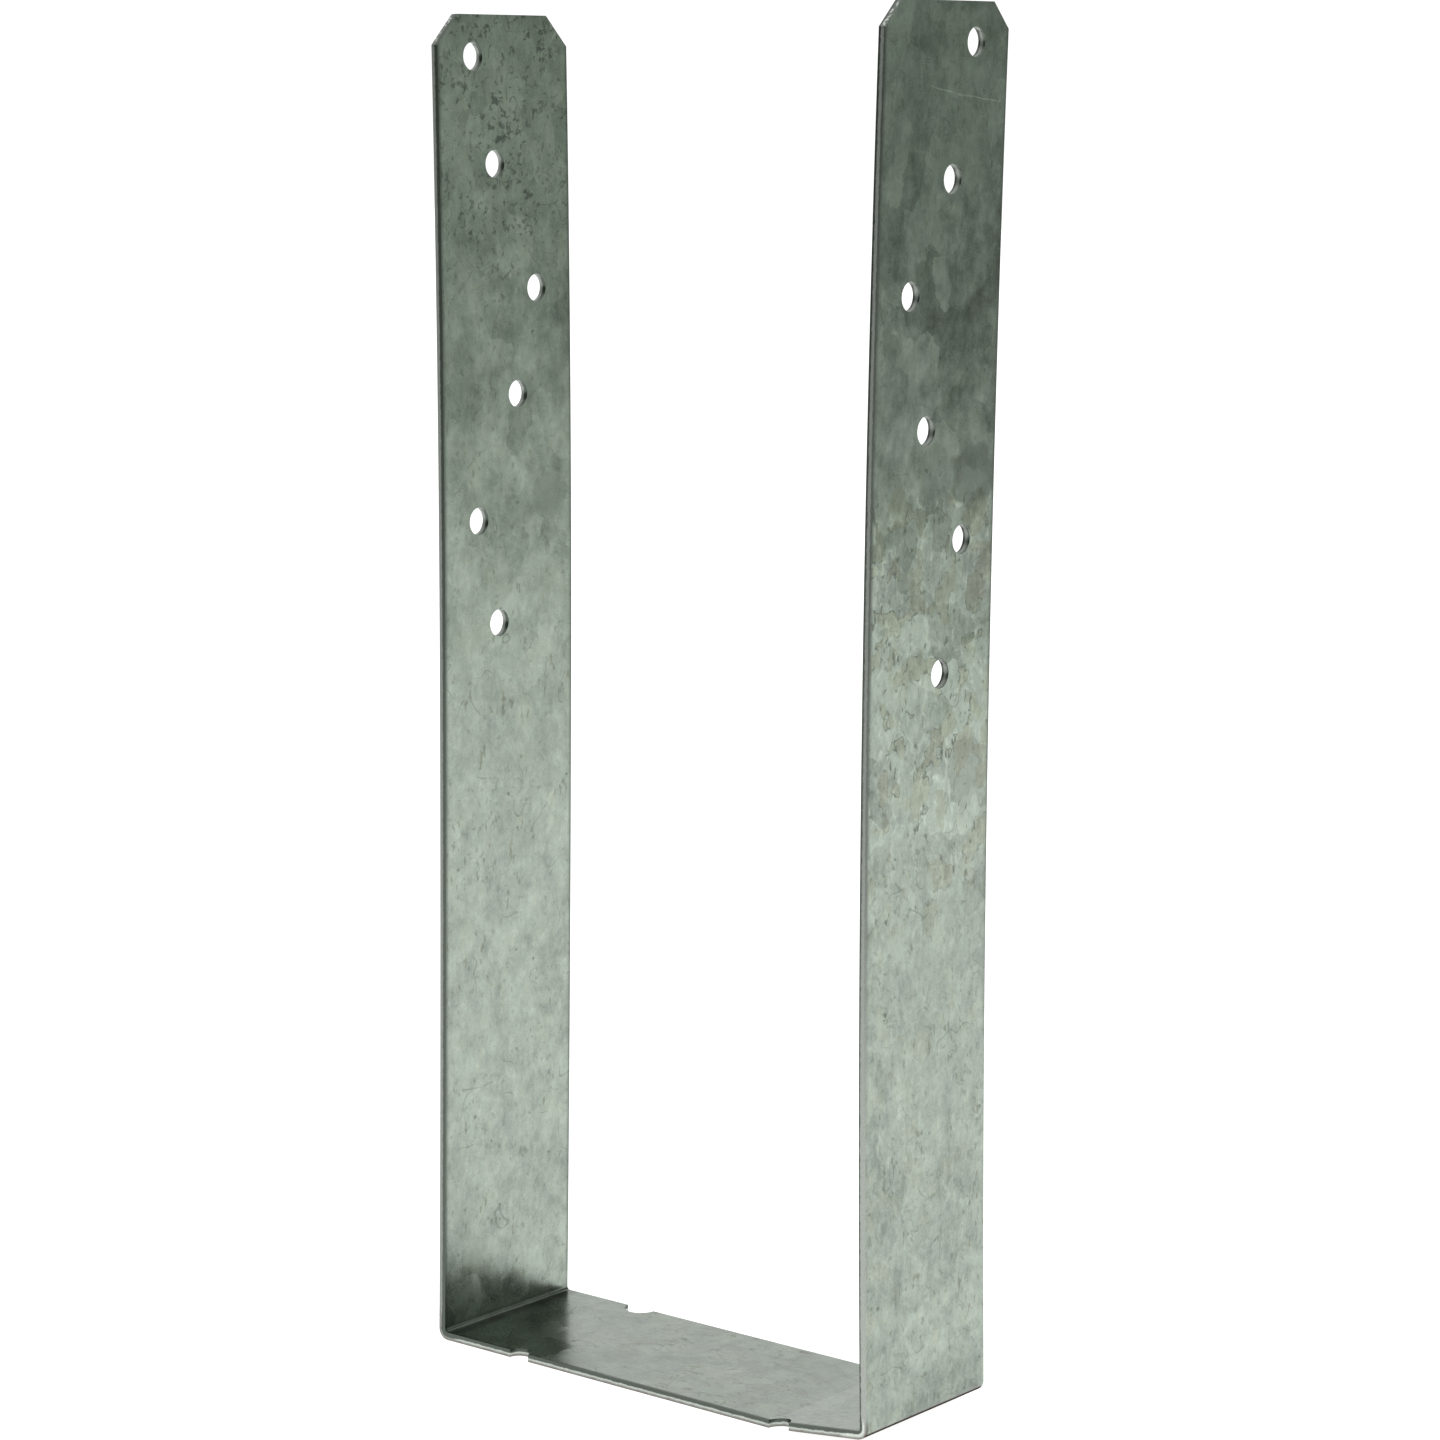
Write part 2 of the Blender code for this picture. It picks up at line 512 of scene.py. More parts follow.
def round_edges(strap, middle, size):
    """Rounds the cut edges, the outer ones by their share of the inner, drawn-in ones' rounding."""
    mesh = strap.data
    faces_of_edge = {edge.key: [] for edge in mesh.edges}
    for face in mesh.polygons:
        for key in face.edge_keys:
            faces_of_edge[key].append(face.normal)
    weights = mesh.attributes.new("bevel_weight_edge", "FLOAT", "EDGE")
    sharp = math.radians(40)
    for edge in mesh.edges:
        normals = faces_of_edge[edge.key]
        if len(normals) != 2 or normals[0].angle(normals[1]) < sharp:
            continue
        ends = [mesh.vertices[index].co for index in edge.vertices]
        # An edge across the sheet's thickness, such as a clip's corner, stays as it is cut.
        if middle.depth(ends[0]) * middle.depth(ends[1]) <= 0:
            continue
        inside = middle.depth(ends[0]) < 0
        weights.data[edge.index].value = 1.0 if inside else size.burr_share
    rounding = strap.modifiers.new("rounding", "BEVEL")
    rounding.limit_method = "WEIGHT"
    rounding.width = size.edge_round
    rounding.segments = 3
    rounding.use_clamp_overlap = True
    apply_modifier(strap, rounding.name)


def mark_cut_faces(strap, middle, size):
    """Gives the sheared walls their own material slot, and every point its depth in the sheet."""
    mesh = strap.data
    depths = mesh.attributes.new("depth", "FLOAT", "POINT")
    for vertex in mesh.vertices:
        depths.data[vertex.index].value = middle.depth(vertex.co) / size.thickness + 0.5
    wall = math.cos(math.radians(65))
    for face in mesh.polygons:
        across = abs(face.normal.dot(middle.normal(face.center)))
        face.material_index = 1 if across < wall else 0


def smooth(strap):
    """Shades the strap smooth, with its flat faces kept flat by their size."""
    make_active(strap)
    bpy.ops.object.shade_smooth_by_angle(angle=math.radians(40))
    weighted = strap.modifiers.new("weighted", "WEIGHTED_NORMAL")
    weighted.keep_sharp = True
    weighted.weight = 100
    apply_modifier(strap, weighted.name)


# Shader nodes


class Signal:
    """An output of a shader node, so that sums on it read as an expression."""

    def __init__(self, shader, output):
        self.shader = shader
        self.output = output

    def __add__(self, other):
        return self.shader.sum("ADD", self, other)

    def __radd__(self, other):
        return self.shader.sum("ADD", other, self)

    def __sub__(self, other):
        return self.shader.sum("SUBTRACT", self, other)

    def __rsub__(self, other):
        return self.shader.sum("SUBTRACT", other, self)

    def __mul__(self, other):
        return self.shader.sum("MULTIPLY", self, other)

    def __rmul__(self, other):
        return self.shader.sum("MULTIPLY", other, self)

    def __abs__(self):
        return self.shader.sum("ABSOLUTE", self)


class Shader:
    """A node tree that is built a node at a time."""

    def __init__(self, tree):
        self.tree = tree
        tree.nodes.clear()

    def add(self, kind, settings=None, inputs=None):
        """Adds a node with its settings first and then its inputs, and returns its outputs."""
        node = self.tree.nodes.new(kind)
        for name, value in (settings or {}).items():
            if name == "stops":
                self.set_stops(node.color_ramp, value)
            else:
                setattr(node, name, value)
        for name, value in (inputs or {}).items():
            if isinstance(value, Signal):
                self.tree.links.new(value.output, node.inputs[name])
            else:
                node.inputs[name].default_value = value
        return {output.name: Signal(self, output) for output in node.outputs if output.enabled}

    def set_stops(self, ramp, stops):
        """Sets a ramp's places and greys."""
        while len(ramp.elements) < len(stops):
            ramp.elements.new(1.0)
        for element, (place, grey) in zip(ramp.elements, stops):
            element.position = place
            element.color = (grey, grey, grey, 1.0)

    def sum(self, operation, *values):
        """A Math node on one or two values."""
        return self.add(
            "ShaderNodeMath", {"operation": operation}, dict(enumerate(values))
        )["Value"]

    def vector(self, operation, *values, scale=None):
        """A Vector Math node."""
        inputs = dict(enumerate(values))
        if scale is not None:
            inputs["Scale"] = scale
        return self.add("ShaderNodeVectorMath", {"operation": operation}, inputs)["Vector"]

    def blend(self, share, first, second):
        """A colour between two colours."""
        colours = [
            value if isinstance(value, Signal) else (*value, 1.0) for value in (first, second)
        ]
        factor, first_input, second_input = 0, 6, 7
        return self.add(
            "ShaderNodeMix",
            {"data_type": "RGBA"},
            {factor: share, first_input: colours[0], second_input: colours[1]},
        )["Result"]

    def ramp(self, value, stops):
        """A grey that follows the stops, each a place from 0 to 1 and a level."""
        colour = self.add("ShaderNodeValToRGB", {"stops": stops}, {"Fac": value})["Color"]
        return self.part(colour, "Red")

    def same(self, value):
        """A colour of three equal parts."""
        return self.add("ShaderNodeCombineXYZ", None, {0: value, 1: value, 2: value})["Vector"]

    def fade(self, value, start, end):
        """A soft step from 0 at start to 1 at end, which may run either way."""
        return self.add(
            "ShaderNodeMapRange",
            {"interpolation_type": "SMOOTHSTEP"},
            {"Value": value, "From Min": start, "From Max": end},
        )["Result"]

    def noise(self, place, size, detail=2.0, roughness=0.5):
        """Cloudy noise about the middle value 0.5, with features of about the given size."""
        return self.add(
            "ShaderNodeTexNoise",
            None,
            {"Vector": place, "Scale": 1 / size, "Detail": detail, "Roughness": roughness},
        )["Fac"]

    def colour_noise(self, place, size, detail=1.0):
        """Cloudy noise of three parts, each about the middle value 0."""
        colour = self.add(
            "ShaderNodeTexNoise", None, {"Vector": place, "Scale": 1 / size, "Detail": detail}
        )["Color"]
        return self.vector("SUBTRACT", colour, (0.5, 0.5, 0.5))

    def sway(self, place, size, reach):
        """The place, moved about by up to half the reach over waves of the given size."""
        return self.vector(
            "MULTIPLY_ADD", self.colour_noise(place, size, detail=2.0), (reach,) * 3, place
        )

    def part(self, value, name, kind="Color"):
        """One part of a colour, or of a vector where the kind is XYZ."""
        node = {"Color": "ShaderNodeSeparateColor", "XYZ": "ShaderNodeSeparateXYZ"}[kind]
        return self.add(node, None, {0: value})[name]

    def cells(self, place, size):
        """Scattered cells of about the given size."""
        return self.add("ShaderNodeTexVoronoi", None, {"Vector": place, "Scale": 1 / size})

    def gloss(self, inputs):
        """A Principled shader."""
        return self.add("ShaderNodeBsdfPrincipled", None, inputs)["BSDF"]

    def finish(self, surface):
        """Makes a shader the material's surface."""
        self.add("ShaderNodeOutputMaterial", None, {"Surface": surface})


def new_shader(name):
    """A material and its empty shader."""
    material = bpy.data.materials.new(name)
    material.use_nodes = True
    return material, Shader(material.node_tree)


# Galvanised steel


class Scratch(NamedTuple):
    """One scratch on a leg, between two places in Y and Z, lighter or darker by its share."""

    side: int
    start: tuple
    end: tuple
    bow: float
    half_width: float
    share: float


SCRATCHES = (
    Scratch(RIGHT.side, (-0.0048, 0.2116), (0.0155, 0.2091), -0.00045, 0.00014, 0.50),
    Scratch(LEFT.side, (-0.0083, 0.2191), (-0.0057, 0.2167), 0.0002, 0.00016, -0.45),
    Scratch(LEFT.side, (-0.0104, 0.2175), (-0.0108, 0.2151), -0.0008, 0.00013, -0.40),
    Scratch(LEFT.side, (-0.0107, 0.2094), (0.0115, 0.2094), 0.0, 0.00010, -0.20),
    Scratch(LEFT.side, (0.0023, 0.1835), (0.0055, 0.1877), -0.0003, 0.00013, -0.30),
    Scratch(LEFT.side, (-0.0118, 0.0430), (-0.0039, 0.0429), -0.0004, 0.00016, -0.25),
    Scratch(RIGHT.side, (-0.0065, 0.1479), (-0.0057, 0.1402), -0.00156, 0.00016, -0.30),
    Scratch(RIGHT.side, (-0.0079, 0.1568), (-0.0069, 0.1498), 0.0003, 0.00065, 0.07),
    Scratch(RIGHT.side, (0.0065, 0.1566), (0.0082, 0.1476), -0.0028, 0.0006, 0.07),
)


class Patch(NamedTuple):
    """One patch on a leg, with its middle and reach in Y and Z.

    Share darkens it, calm fades the flakes in it, brown tints it and outline darkens its border.
    """

    side: int
    middle: tuple
    reach: tuple
    share: float
    calm: float = 0.0
    brown: float = 0.0
    outline: float = 0.0


PATCHES = (
    Patch(RIGHT.side, (0.0102, 0.1518), (0.0058, 0.0048), 0.19, calm=0.7),
    Patch(RIGHT.side, (-0.0122, 0.1524), (0.0036, 0.0040), 0.06, calm=0.4),
    Patch(RIGHT.side, (0.0000, 0.1528), (0.0046, 0.0042), 0.04, calm=0.4),
    Patch(RIGHT.side, (0.0017, 0.1439), (0.0026, 0.0033), 0.04, calm=0.4, brown=0.3, outline=0.35),
    Patch(RIGHT.side, (-0.0072, 0.1371), (0.0023, 0.0017), 0.06, calm=0.5, brown=0.4, outline=0.25),
    Patch(RIGHT.side, (0.0107, 0.1332), (0.0022, 0.0032), 0.05, calm=0.5, brown=0.9, outline=0.35),
    # Painted light and shade at the right leg's foot: the first patch darkens it, the next lightens
    # a band above it.
    Patch(RIGHT.side, (0.0052, 0.0000), (0.0120, 0.0108), 0.16),
    Patch(RIGHT.side, (0.0050, 0.0170), (0.0115, 0.0050), -0.08),
    Patch(RIGHT.side, (0.0099, 0.1054), (0.0044, 0.0055), 0.0, calm=0.55),
    Patch(LEFT.side, (0.0099, 0.1419), (0.0042, 0.0040), 0.0, calm=0.8),
    Patch(LEFT.side, (0.0096, 0.1010), (0.0034, 0.0046), 0.08),
)


class Sheet:
    """Places on the strap and the stretches of it that the patterns follow, in metres."""

    def __init__(self, shader):
        self.shader = shader
        self.place = shader.add("ShaderNodeTexCoord")["Object"]
        # Streaks and wisps run along the strap: up the legs and along the base.
        self.drawn_out = shader.vector("MULTIPLY", self.place, (0.12, 1.0, 0.12))
        self.lengthened = shader.vector("MULTIPLY", self.place, (0.5, 1.0, 0.5))
        self.x = shader.part(self.place, "X", "XYZ")
        self.y = shader.part(self.place, "Y", "XYZ")
        self.z = shader.part(self.place, "Z", "XYZ")

    def leg(self, side):
        """1 on one leg, 0 on the rest."""
        return self.shader.fade(self.x * side, 0.040, 0.042)

    def rise(self, low, high):
        """A soft step from 0 at one height to 1 at the other, which may run either way."""
        return self.shader.fade(self.z, low, high)

    def crowd(self):
        """How thickly dark specks lie: in clusters, and most of all towards the left tip."""
        shader = self.shader
        clusters = shader.fade(shader.noise(self.place, 0.013), 0.42, 0.62)
        tip = self.leg(LEFT.side) * self.rise(0.165, 0.195)
        return 0.08 + clusters * 0.20 + tip * (0.34 + clusters * 0.38)

    def right_leg_shade(self):
        """How much painted shade darkens the right leg, most of all its upper half, though less so
        towards its tip.
        """
        upper = self.rise(0.136, 0.152) * 0.15 + self.rise(0.157, 0.165) * 0.06
        return self.leg(RIGHT.side) * (0.06 + upper - self.rise(0.190, 0.210) * 0.12)

    def crease_shade(self):
        """1 in the left bend, where the zinc is darkened by painted shade and is rougher."""
        return self.leg(LEFT.side) * self.rise(0.0028, 0.0020)

    def foot(self):
        """1 on the outside of the right bend, low down, where a dark line of painted shade runs
        under the fold.
        """
        return self.shader.fade(self.x, 0.0440, 0.0444) * self.rise(0.0033, 0.0028)

    def bustle(self):
        """How lively the flakes are: most of all half way up the right leg."""
        middle = self.rise(0.160, 0.143) * (0.25 + 0.75 * self.rise(0.07, 0.11))
        return self.leg(RIGHT.side) * middle


def flakes(sheet, size):
    """Spangle cells: each one's tone about 0, its tilt, and the pale seams between them."""
    shader = sheet.shader
    swayed = shader.sway(sheet.place, 0.0035, 0.0035)
    cells = shader.cells(swayed, size)
    tone = shader.part(cells["Color"], "Red") - 0.5
    tilt = shader.vector("SUBTRACT", cells["Color"], (0.5, 0.5, 0.5))
    border = shader.add(
        "ShaderNodeTexVoronoi",
        {"feature": "DISTANCE_TO_EDGE"},
        {"Vector": swayed, "Scale": 1 / size},
    )["Distance"]
    broken = shader.fade(shader.noise(sheet.place, 0.004), 0.45, 0.60)
    return tone, tilt, shader.fade(border, 0.08, 0.0) * broken


def feathers(sheet, size):
    """Fine fern-like grain that runs its own way in each patch."""
    shader = sheet.shader
    turns = shader.cells(shader.sway(sheet.place, 0.003, 0.004), size)["Color"]
    full_turn = (6.28, 6.28, 6.28)
    turned = shader.add(
        "ShaderNodeVectorRotate",
        {"rotation_type": "EULER_XYZ"},
        {"Vector": sheet.place, "Rotation": shader.vector("MULTIPLY", turns, full_turn)},
    )["Vector"]
    drawn = shader.vector("MULTIPLY", turned, (1.0, 0.25, 1.0))
    return shader.noise(drawn, 0.0008, detail=3.0, roughness=0.6)


def warm_patches(sheet):
    """Scalloped patches of tarnish, and the thin broken lines round them."""
    shader = sheet.shader
    field = shader.noise(shader.sway(sheet.place, 0.002, 0.0018), 0.0046, detail=2.4)
    inside = shader.fade(field, 0.545, 0.565)
    line = shader.fade(abs(field - 0.555), 0.017, 0.004)
    broken = shader.fade(shader.noise(sheet.place, 0.0027), 0.47, 0.56)
    return inside, line * broken


def pits(sheet, crowd):
    """Small ragged dark pits of many sizes."""
    shader = sheet.shader
    cells = shader.cells(shader.sway(sheet.place, 0.0006, 0.0012), 0.0021)
    chance = shader.part(cells["Color"], "Green")
    radius = 0.04 + shader.part(cells["Color"], "Blue") * 0.16
    present = shader.fade(chance - (1 - crowd * 0.6), -0.02, 0.04)
    return shader.fade(cells["Distance"] - radius, 0.07, -0.06) * present


def ticks(sheet, crowd):
    """Short thin dark curls."""
    shader = sheet.shader
    line = shader.fade(abs(shader.noise(sheet.place, 0.0030, detail=1.0) - 0.5), 0.030, 0.010)
    short = shader.fade(shader.noise(sheet.place, 0.0019, detail=1.0), 0.55, 0.62)
    return line * short * shader.fade(crowd, 0.1, 0.5)


def blots(sheet, crowd):
    """Ragged dark blots about a millimetre across, which come closer together with the crowd."""
    shader = sheet.shader
    field = shader.noise(shader.sway(sheet.place, 0.001, 0.0012), 0.0015, detail=3.0, roughness=0.6)
    shape = shader.fade(field + crowd * 0.08, 0.635, 0.72)
    return shape * (0.35 + crowd * 0.8)


def soft_blots(sheet, crowd):
    """Faint dark clouds behind the blots."""
    shader = sheet.shader
    shape = shader.fade(shader.noise(sheet.place, 0.0034, roughness=0.6), 0.52, 0.66)
    return shape * shader.fade(crowd, 0.15, 0.7)


def brown_ticks(sheet):
    """Short brownish strokes along the strap, in loose groups."""
    shader = sheet.shader
    stroke = shader.fade(shader.noise(sheet.lengthened, 0.00095, detail=1.5), 0.62, 0.70)
    group = shader.fade(shader.noise(sheet.place, 0.0052), 0.48, 0.60)
    return stroke * group


def scratch(sheet, line):
    """One scratch of the given line, faded at its ends and broken here and there."""
    shader = sheet.shader
    wobbled = shader.sway(sheet.place, 0.003, 0.0005)
    y = shader.part(wobbled, "Y", "XYZ") - line.start[0]
    z = shader.part(wobbled, "Z", "XYZ") - line.start[1]
    reach_y, reach_z = line.end[0] - line.start[0], line.end[1] - line.start[1]
    length = math.hypot(reach_y, reach_z)
    along = (y * reach_y + z * reach_z) * (1 / length**2)
    across = (z * reach_y - y * reach_z) * (1 / length)
    off = abs(across - along * (1 - along) * (4 * line.bow))
    ends = shader.fade(along, 0.0, 0.08) * shader.fade(along, 1.0, 0.9)
    broken = shader.fade(shader.noise(sheet.place, 0.0012, detail=1.0), 0.30, 0.48)
    thin = shader.fade(off, line.half_width, line.half_width * 0.3)
    return thin * ends * broken * sheet.leg(line.side)


def dull_patch(sheet, patch):
    """The inside of one patch and its wavering outline, which is broken here and there."""
    shader = sheet.shader
    wobbled = shader.sway(sheet.place, 0.0035, 0.0046)
    y = (shader.part(wobbled, "Y", "XYZ") - patch.middle[0]) * (1 / patch.reach[0])
    z = (shader.part(wobbled, "Z", "XYZ") - patch.middle[1]) * (1 / patch.reach[1])
    reach = y * y + z * z
    on_leg = sheet.leg(patch.side)
    broken = shader.fade(shader.noise(sheet.place, 0.0024, detail=1.0), 0.42, 0.55)
    outline = shader.fade(abs(reach - 1), 0.20, 0.05) * broken
    return shader.fade(reach, 1.22, 0.82) * on_leg, outline * on_leg


def arcs(sheet):
    """Thin dark arcs, few and far between."""
    shader = sheet.shader
    field = shader.noise(sheet.place, 0.0075, detail=0.8, roughness=0.4)
    group = shader.fade(shader.noise(sheet.place, 0.005, detail=1.0), 0.53, 0.61)
    return shader.fade(abs(field - 0.5), 0.008, 0.002) * group


def edge_light(sheet, half_width):
    """What the zinc keeps of its brightness towards the strap's long edges, darkened there by
    painted shade.

    The faces darken a little towards the legs' edges, and the drawn-in corners and the base's front
    edge are painted dark.
    """
    shader = sheet.shader
    above_bend = sheet.rise(0.003, 0.007)
    on_legs = above_bend * (1 - sheet.leg(RIGHT.side) * (1 - sheet.rise(0.03, 0.12)))
    from_middle = abs(sheet.y)
    rim = shader.fade(from_middle, half_width - 0.0010, half_width - 0.0001) * on_legs
    corner = shader.fade(from_middle, half_width - 0.0005, half_width - 0.0002) * on_legs
    front = shader.fade(sheet.y, 0.0007 - half_width, 0.0003 - half_width) * (1 - above_bend)
    return (1 - rim * 0.35) * (1 - corner * 0.4) * (1 - front * 0.85)


class Zinc:
    """The zinc's patterns, which its tone, its gloss and its relief share."""

    def __init__(self, sheet, look):
        shader, place = sheet.shader, sheet.place
        self.sheet = sheet
        self.bustle = sheet.bustle()
        self.flake_tone, self.tilt, self.seams = flakes(sheet, look.flake)
        self.fern = feathers(sheet, look.flake) - 0.5
        self.clouds = shader.noise(place, look.cloud) - 0.5
        self.mottle = shader.noise(place, 0.0045, detail=5.0, roughness=0.62) - 0.5
        self.grain = shader.noise(place, look.grain, detail=1.0) - 0.5
        tarnish = shader.noise(place, 0.0062, detail=4.0, roughness=0.65)
        self.warmth = shader.fade(tarnish, 0.46, 0.60)
        self.patches, self.patch_lines = warm_patches(sheet)
        self.strokes = brown_ticks(sheet)

    def tone(self, level):
        """How light the zinc is, about the given level."""
        sheet, bustle = self.sheet, self.bustle
        shader = sheet.shader
        left, right = sheet.leg(LEFT.side), sheet.leg(RIGHT.side)
        pebbles = shader.noise(sheet.lengthened, 0.0011, roughness=0.6) - 0.5
        streaks = shader.noise(sheet.drawn_out, 0.0011) - 0.5
        chips = shader.fade(shader.noise(sheet.lengthened, 0.0012, roughness=0.6), 0.60, 0.70)
        pale_line = abs(shader.noise(sheet.lengthened, 0.0036, detail=1.0) - 0.5)
        curled = shader.fade(shader.noise(sheet.place, 0.004, detail=1.0), 0.56, 0.66)
        pale_curls = shader.fade(pale_line, 0.02, 0.004) * curled
        contrast = 1.0 + left * 0.2 + bustle * 0.18
        contrast = contrast - right * (0.12 - sheet.rise(0.10, 0.06) * 0.18)
        left_leg = 0.03 + sheet.rise(0.185, 0.205) * 0.20 - sheet.rise(0.036, 0.028) * 0.06
        return (
            level
            + self.clouds * 0.30
            + self.mottle * contrast
            + pebbles * (0.38 + bustle * 0.30)
            + self.flake_tone * (0.07 + bustle * 0.38)
            + self.fern * (0.18 + bustle * 0.12)
            + streaks * 0.12
            + self.grain * 0.22
            + self.seams * (0.04 + bustle * 0.14)
            + chips * (0.05 + bustle * 0.22)
            + pale_curls * 0.12
            + self.warmth * 0.05
            + bustle * 0.10
            + left * left_leg
        )

    def stain(self):
        """How far the zinc's tint goes over to the warm tarnish."""
        return self.warmth * 0.36 + self.patches * (0.06 + self.bustle * 0.85) + self.strokes * 0.9

    def roughness(self, base, bright):
        """How softly the zinc mirrors the room, more softly where it is marked."""
        return (
            base
            + self.clouds * 0.10
            + self.flake_tone * 0.06
            + self.mottle * 0.25
            + (1 - bright) * 0.15
        )

    def normal(self, calm, eaten):
        """The zinc's relief, on faces that lean this way and that.

        Each flake tilts a little, so that it mirrors its own bit of the room.
        """
        shader = self.sheet.shader
        face = shader.add("ShaderNodeNewGeometry")["Normal"]
        tilt = shader.vector("SCALE", self.tilt, scale=(1 - calm) * 0.04)
        waves = shader.colour_noise(self.sheet.place, 0.02)
        lean = shader.vector("ADD", face, tilt)
        lean = shader.vector("MULTIPLY_ADD", waves, (0.05, 0.05, 0.05), lean)
        return shader.add(
            "ShaderNodeBump",
            None,
            {
                "Strength": 0.3,
                "Distance": 0.00003,
                "Height": self.fern * 0.35 + self.grain * 0.2 + self.mottle * 1.5 + eaten * 0.7,
                "Normal": shader.vector("NORMALIZE", lean),
            },
        )["Normal"]


def galvanised_sheet(look, half_width):
    """Zinc with soft flakes and seams, cloudy patches, dark pits and fine curled scratches."""
    material, shader = new_shader("galvanised_sheet")
    sheet = Sheet(shader)
    zinc = Zinc(sheet, look)
    # Painted shade darkens the right leg, most of all its upper half.
    level = 1 - sheet.right_leg_shade()
    tone, stained = zinc.tone(level), zinc.stain()
    calm, outlines = 0.0, 0.0
    for patch in PATCHES:
        inside, outline = dull_patch(sheet, patch)
        tone = tone + (level - tone) * (inside * patch.calm) - inside * patch.share
        calm = calm + inside * patch.calm
        stained = stained + inside * patch.brown
        outlines = outlines + outline * patch.outline
    for line in SCRATCHES:
        tone = tone + scratch(sheet, line) * line.share

    crowd = sheet.crowd()
    eaten = (1 - pits(sheet, crowd) * 0.60) * (1 - blots(sheet, crowd) * 0.60)
    bright = (
        eaten
        * (1 - ticks(sheet, crowd) * 0.55)
        * (1 - outlines)
        * (1 - soft_blots(sheet, crowd) * 0.12)
        * (1 - zinc.strokes * (0.25 + zinc.bustle * 0.30))
        * (1 - arcs(sheet) * 0.35)
        * (1 - zinc.patch_lines * (0.10 + zinc.bustle * 0.50) * (1 - calm))
        # Painted shade along the strap's long edges.
        * edge_light(sheet, half_width)
        # Painted shade in the left bend.
        * (1 - sheet.crease_shade() * 0.45)
    )
    metal = shader.blend(stained, look.zinc, look.tarnish)
    metal = shader.vector("SCALE", metal, scale=tone)
    coat = shader.gloss(
        {
            "Base Color": shader.blend(1 - bright, metal, look.speck_and_shade),
            "Metallic": 1.0,
            "Roughness": zinc.roughness(look.roughness, bright),
            "Normal": zinc.normal(calm, eaten),
        }
    )
    # Painted shade under the right leg's fold: a dark matt coat that mirrors nothing.
    foot_shade = shader.gloss(
        {"Base Color": (*look.foot_shade, 1.0), "Roughness": 0.9, "Specular IOR Level": 0.0}
    )
    mixed = shader.add("ShaderNodeMixShader", None, {0: sheet.foot(), 1: coat, 2: foot_shade})
    shader.finish(mixed["Shader"])
    return material


def sheared_steel(look, plan):
    """A cut edge: a dark band of painted shade on the drawn-in rim next to the inner face, then
    bright torn steel with painted highlights.
    """
    material, shader = new_shader("sheared_steel")
    sheet = Sheet(shader)
    depth = shader.add("ShaderNodeAttribute", {"attribute_name": "depth"})["Fac"]
    ragged = depth + (shader.noise(sheet.place, 0.0009) - 0.5) * 0.25
    # The painted dark band is wider on the left leg and on the base than on the rest, and narrower
    # low on the right leg. The right leg's walls also have a painted dark outer corner, which fades
    # away down to its foot.
    on_base = sheet.rise(0.006, 0.004)
    right_foot = sheet.leg(RIGHT.side) * sheet.rise(0.12, 0.04)
    band = 0.22 + sheet.leg(LEFT.side) * 0.20 + on_base * 0.16 - right_foot * 0.10
    outer = shader.fade(ragged, 0.66, 0.80) * sheet.leg(RIGHT.side) * sheet.rise(0.04, 0.12)
    torn = shader.fade(ragged - band, 0.0, 0.18) * (1 - outer * 0.7)
    grit = shader.noise(sheet.place, 0.00022, roughness=0.6)
    # The clipped corners are the most roughly torn; their walls are darkened, with painted glints.
    clips = 0.0
    for leg in (LEFT, RIGHT):
        clip_foot = plan.tip_z(leg) - leg.tip_clip
        clips = clips + sheet.leg(leg.side) * sheet.rise(clip_foot - 0.0005, clip_foot + 0.0002)
    painted_glint = shader.fade(shader.noise(sheet.place, 0.0006, detail=1.0), 0.52, 0.60) * clips
    # Painted highlights: the base's walls are brightest in a thin line along their middle, and the
    # right leg's walls are brighter low down.
    middle = 1 - shader.fade(ragged, 0.60, 0.76)
    highlight_and_grit = 1 + on_base * middle * 0.9 + right_foot * 0.35 - clips * 0.3 + painted_glint * 1.3
    highlight_and_grit = highlight_and_grit * (0.7 + grit * 0.6)
    bright = shader.vector("SCALE", look.bare_steel, scale=highlight_and_grit)
    burr = shader.fade(ragged, 0.76, 0.92) * on_base * 0.7
    colour = shader.blend(burr, shader.blend(torn, look.speck_and_shade, bright), look.rust)
    normal = shader.add(
        "ShaderNodeBump", None, {"Strength": 0.4, "Distance": 0.00004, "Height": grit * torn}
    )["Normal"]
    steel = shader.gloss(
        {
            "Base Color": colour,
            "Metallic": 1.0,
            "Roughness": 0.30 + torn * 0.18,
            "Normal": normal,
        }
    )
    shader.finish(steel)
    return material


# The studio


def floor_paper(colour, glow):
    """Plain pale matt paper on a light table, whose glow keeps the shadows faint."""
    material, shader = new_shader("floor_paper")
    paper = shader.gloss(
        {
            "Base Color": (*colour, 1.0),
            "Roughness": 0.9,
            "Specular IOR Level": 0.1,
            "Emission Color": (1.0, 1.0, 1.0, 1.0),
            "Emission Strength": glow,
        }
    )
    shader.finish(paper)
    return material


